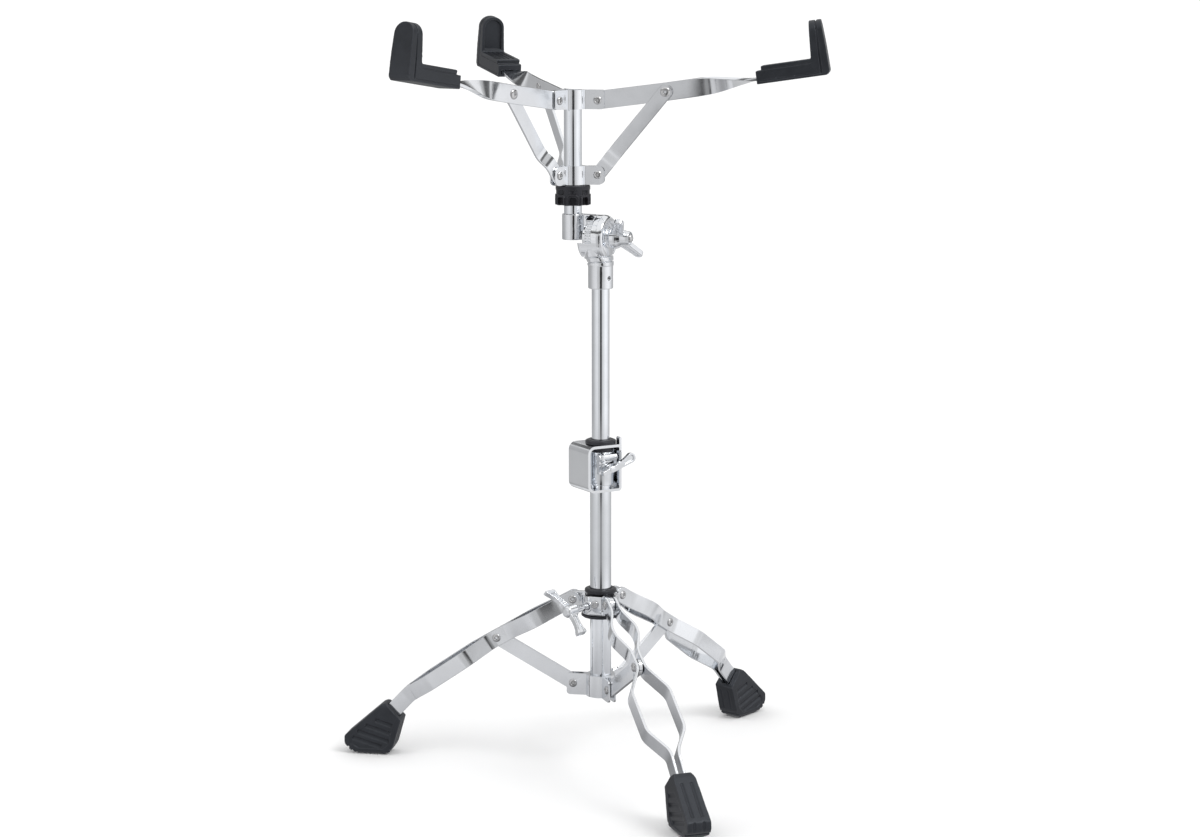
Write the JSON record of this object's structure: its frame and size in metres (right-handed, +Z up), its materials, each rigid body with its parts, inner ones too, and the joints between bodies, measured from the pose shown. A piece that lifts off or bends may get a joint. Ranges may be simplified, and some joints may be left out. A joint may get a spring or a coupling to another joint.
{
  "type": "snare drum stand",
  "caption": "Folding chrome tripod stand with double-braced legs, height clamp, ratchet tilter and a folding basket with rubber grips that holds a snare drum.",
  "frame": {"origin": "floor level under the centre of the object's bounding box, about 2 mm from the column axis", "axes": "+Z up along the column; -Y towards the front leg; the other legs at 30 and 150 degrees from +X"},
  "size_m": [0.4255, 0.4797, 0.6669],
  "materials": {
    "chrome": "polished chrome plate on drawn tube and stamped strip",
    "chrome_casting": "polished chrome plate on die castings, faint casting waves",
    "bright_steel": "bright zinc-plated fasteners",
    "rubber": "matt black moulded rubber",
    "black_plastic": "satin black moulded plastic"
  },
  "bodies": {
    "root": {"lower_tube": "chrome", "tube_end_plug": "black_plastic", "tripod_lower_hub": "chrome", "rivet_brace_1": "bright_steel", "rivet_brace_2": "bright_steel", "rivet_brace_3": "bright_steel", "clamp_bracket": "chrome", "clamp_sleeve": "chrome", "clamp_bushing": "black_plastic"},
    "brace_1": {"brace_1": "chrome"},
    "leg_1": {"leg_1_strip_a": "chrome", "leg_1_strip_b": "chrome", "leg_1_foot": "rubber", "rivet_leg_mid_1": "bright_steel"},
    "brace_2": {"brace_2": "chrome"},
    "leg_2": {"leg_2_strip_a": "chrome", "leg_2_strip_b": "chrome", "leg_2_foot": "rubber", "rivet_leg_mid_2": "bright_steel"},
    "brace_3": {"brace_3": "chrome"},
    "leg_3": {"leg_3_strip_a": "chrome", "leg_3_strip_b": "chrome", "leg_3_foot": "rubber", "rivet_leg_mid_3": "bright_steel"},
    "collar": {"collar": "chrome_casting", "collar_top_ring": "black_plastic", "collar_lower_ring": "black_plastic", "rivet_leg_top_1": "bright_steel", "rivet_leg_top_2": "bright_steel", "rivet_leg_top_3": "bright_steel"},
    "collar_screw": {"collar_wing_screw": "chrome_casting"},
    "clamp_screw": {"clamp_wing_screw": "chrome_casting"},
    "mast": {"upper_tube": "chrome", "tilter_lower_casting": "chrome_casting", "tilter_bolt": "bright_steel", "tilter_set_screw": "bright_steel"},
    "wing_nut": {"tilter_wing_nut": "chrome_casting"},
    "basket": {"tilter_upper_casting": "chrome_casting", "basket_rod": "chrome", "basket_upper_hub": "chrome", "rivet_arm_hub_1": "bright_steel", "rivet_arm_hub_2": "bright_steel", "rivet_arm_hub_3": "bright_steel"},
    "arm_1": {"arm_1": "chrome", "grip_1": "rubber", "rivet_arm_mid_1": "bright_steel"},
    "strut_1": {"strut_1": "chrome"},
    "arm_2": {"arm_2": "chrome", "grip_2": "rubber", "rivet_arm_mid_2": "bright_steel"},
    "strut_2": {"strut_2": "chrome"},
    "arm_3": {"arm_3": "chrome", "grip_3": "rubber", "rivet_arm_mid_3": "bright_steel"},
    "strut_3": {"strut_3": "chrome"},
    "slide_hub": {"basket_lower_hub": "chrome", "rivet_strut_1": "bright_steel", "rivet_strut_2": "bright_steel", "rivet_strut_3": "bright_steel"},
    "knob": {"basket_knob": "black_plastic"}
  },
  "joints": [
    {"name": "tripod_fold", "type": "hinge", "parent": "root", "child": "brace_1", "pos_m": [0, -0.0247, 0.0746], "axis": [-1, 0, 0], "range_deg": [0, 50]},
    {"name": "brace_2_hinge", "type": "hinge", "parent": "root", "child": "brace_2", "pos_m": [0.02139, 0.01235, 0.0746], "axis": [0.5, -0.866, 0], "range_deg": [0, 50]},
    {"name": "brace_3_hinge", "type": "hinge", "parent": "root", "child": "brace_3", "pos_m": [-0.02139, 0.01235, 0.0746], "axis": [0.5, 0.866, 0], "range_deg": [0, 50]},
    {"name": "leg_1_hinge", "type": "hinge", "parent": "brace_1", "child": "leg_1", "pos_m": [0, -0.0949, 0.1135], "axis": [-1, 0, 0], "range_deg": [-100, 0]},
    {"name": "leg_2_hinge", "type": "hinge", "parent": "brace_2", "child": "leg_2", "pos_m": [0.08219, 0.04745, 0.1135], "axis": [0.5, -0.866, 0], "range_deg": [-100, 0]},
    {"name": "leg_3_hinge", "type": "hinge", "parent": "brace_3", "child": "leg_3", "pos_m": [-0.08219, 0.04745, 0.1135], "axis": [0.5, 0.866, 0], "range_deg": [-100, 0]},
    {"name": "collar_pivot", "type": "hinge", "parent": "leg_1", "child": "collar", "pos_m": [0, -0.0247, 0.1524], "axis": [-1, 0, 0], "range_deg": [0, 50]},
    {"name": "collar_screw_turn", "type": "hinge", "parent": "collar", "child": "collar_screw", "pos_m": [-0.02598, -0.015, 0.149], "axis": [-0.866, -0.5, 0], "continuous": true},
    {"name": "clamp_screw_turn", "type": "hinge", "parent": "root", "child": "clamp_screw", "pos_m": [0.00313, -0.01773, 0.2735], "axis": [0.1736, -0.9848, 0], "continuous": true},
    {"name": "height_slide", "type": "slide", "parent": "root", "child": "mast", "axis": [0, 0, 1], "range_m": [-0.095, 0.07]},
    {"name": "wing_nut_turn", "type": "hinge", "parent": "mast", "child": "wing_nut", "pos_m": [0.00848, -0.00848, 0.4775], "axis": [0.7071, -0.7071, 0], "continuous": true},
    {"name": "basket_tilt", "type": "hinge", "parent": "mast", "child": "basket", "pos_m": [0, 0, 0.4775], "axis": [0.7071, -0.7071, 0], "range_deg": [-60, 60]},
    {"name": "basket_fold", "type": "hinge", "parent": "basket", "child": "arm_1", "pos_m": [0.00061, 0.00846, 0.5964], "axis": [-0.4726, -0.8813, 0], "range_deg": [0, 40]},
    {"name": "arm_2_hinge", "type": "hinge", "parent": "basket", "child": "arm_2", "pos_m": [-0.01965, 0.04114, 0.5964], "axis": [0.9995, 0.0314, 0], "range_deg": [0, 40]},
    {"name": "arm_3_hinge", "type": "hinge", "parent": "basket", "child": "arm_3", "pos_m": [-0.03782, 0.00725, 0.5964], "axis": [-0.527, 0.8499, 0], "range_deg": [0, 40]},
    {"name": "strut_1_hinge", "type": "hinge", "parent": "arm_1", "child": "strut_1", "pos_m": [0.05296, -0.01961, 0.604], "axis": [-0.4726, -0.8813, 0], "range_deg": [-26.4, 0]},
    {"name": "strut_2_hinge", "type": "hinge", "parent": "arm_2", "child": "strut_2", "pos_m": [-0.02151, 0.10051, 0.604], "axis": [0.9995, 0.0314, 0], "range_deg": [-26.4, 0]},
    {"name": "strut_3_hinge", "type": "hinge", "parent": "arm_3", "child": "strut_3", "pos_m": [-0.0883, -0.02405, 0.604], "axis": [-0.527, 0.8499, 0], "range_deg": [-26.4, 0]},
    {"name": "hub_slide", "type": "slide", "parent": "basket", "child": "slide_hub", "axis": [0, 0, 1], "range_m": [0, 0.0245]},
    {"name": "knob_turn", "type": "hinge", "parent": "slide_hub", "child": "knob", "pos_m": [-0.01895, 0.01895, 0.5137], "axis": [0, 0, 1], "continuous": true}
  ],
  "couplings": [
    {"joint": "brace_2_hinge", "follows": "tripod_fold", "ratio": 1},
    {"joint": "brace_3_hinge", "follows": "tripod_fold", "ratio": 1},
    {"joint": "leg_1_hinge", "follows": "tripod_fold", "ratio": -2},
    {"joint": "leg_2_hinge", "follows": "tripod_fold", "ratio": -2},
    {"joint": "leg_3_hinge", "follows": "tripod_fold", "ratio": -2},
    {"joint": "collar_pivot", "follows": "tripod_fold", "ratio": 1},
    {"joint": "arm_2_hinge", "follows": "basket_fold", "ratio": 1},
    {"joint": "arm_3_hinge", "follows": "basket_fold", "ratio": 1},
    {"joint": "strut_1_hinge", "follows": "basket_fold", "ratio": -0.658},
    {"joint": "strut_2_hinge", "follows": "basket_fold", "ratio": -0.658},
    {"joint": "strut_3_hinge", "follows": "basket_fold", "ratio": -0.658},
    {"joint": "hub_slide", "follows": "basket_fold", "m_per_rad": 0.034966}
  ]
}
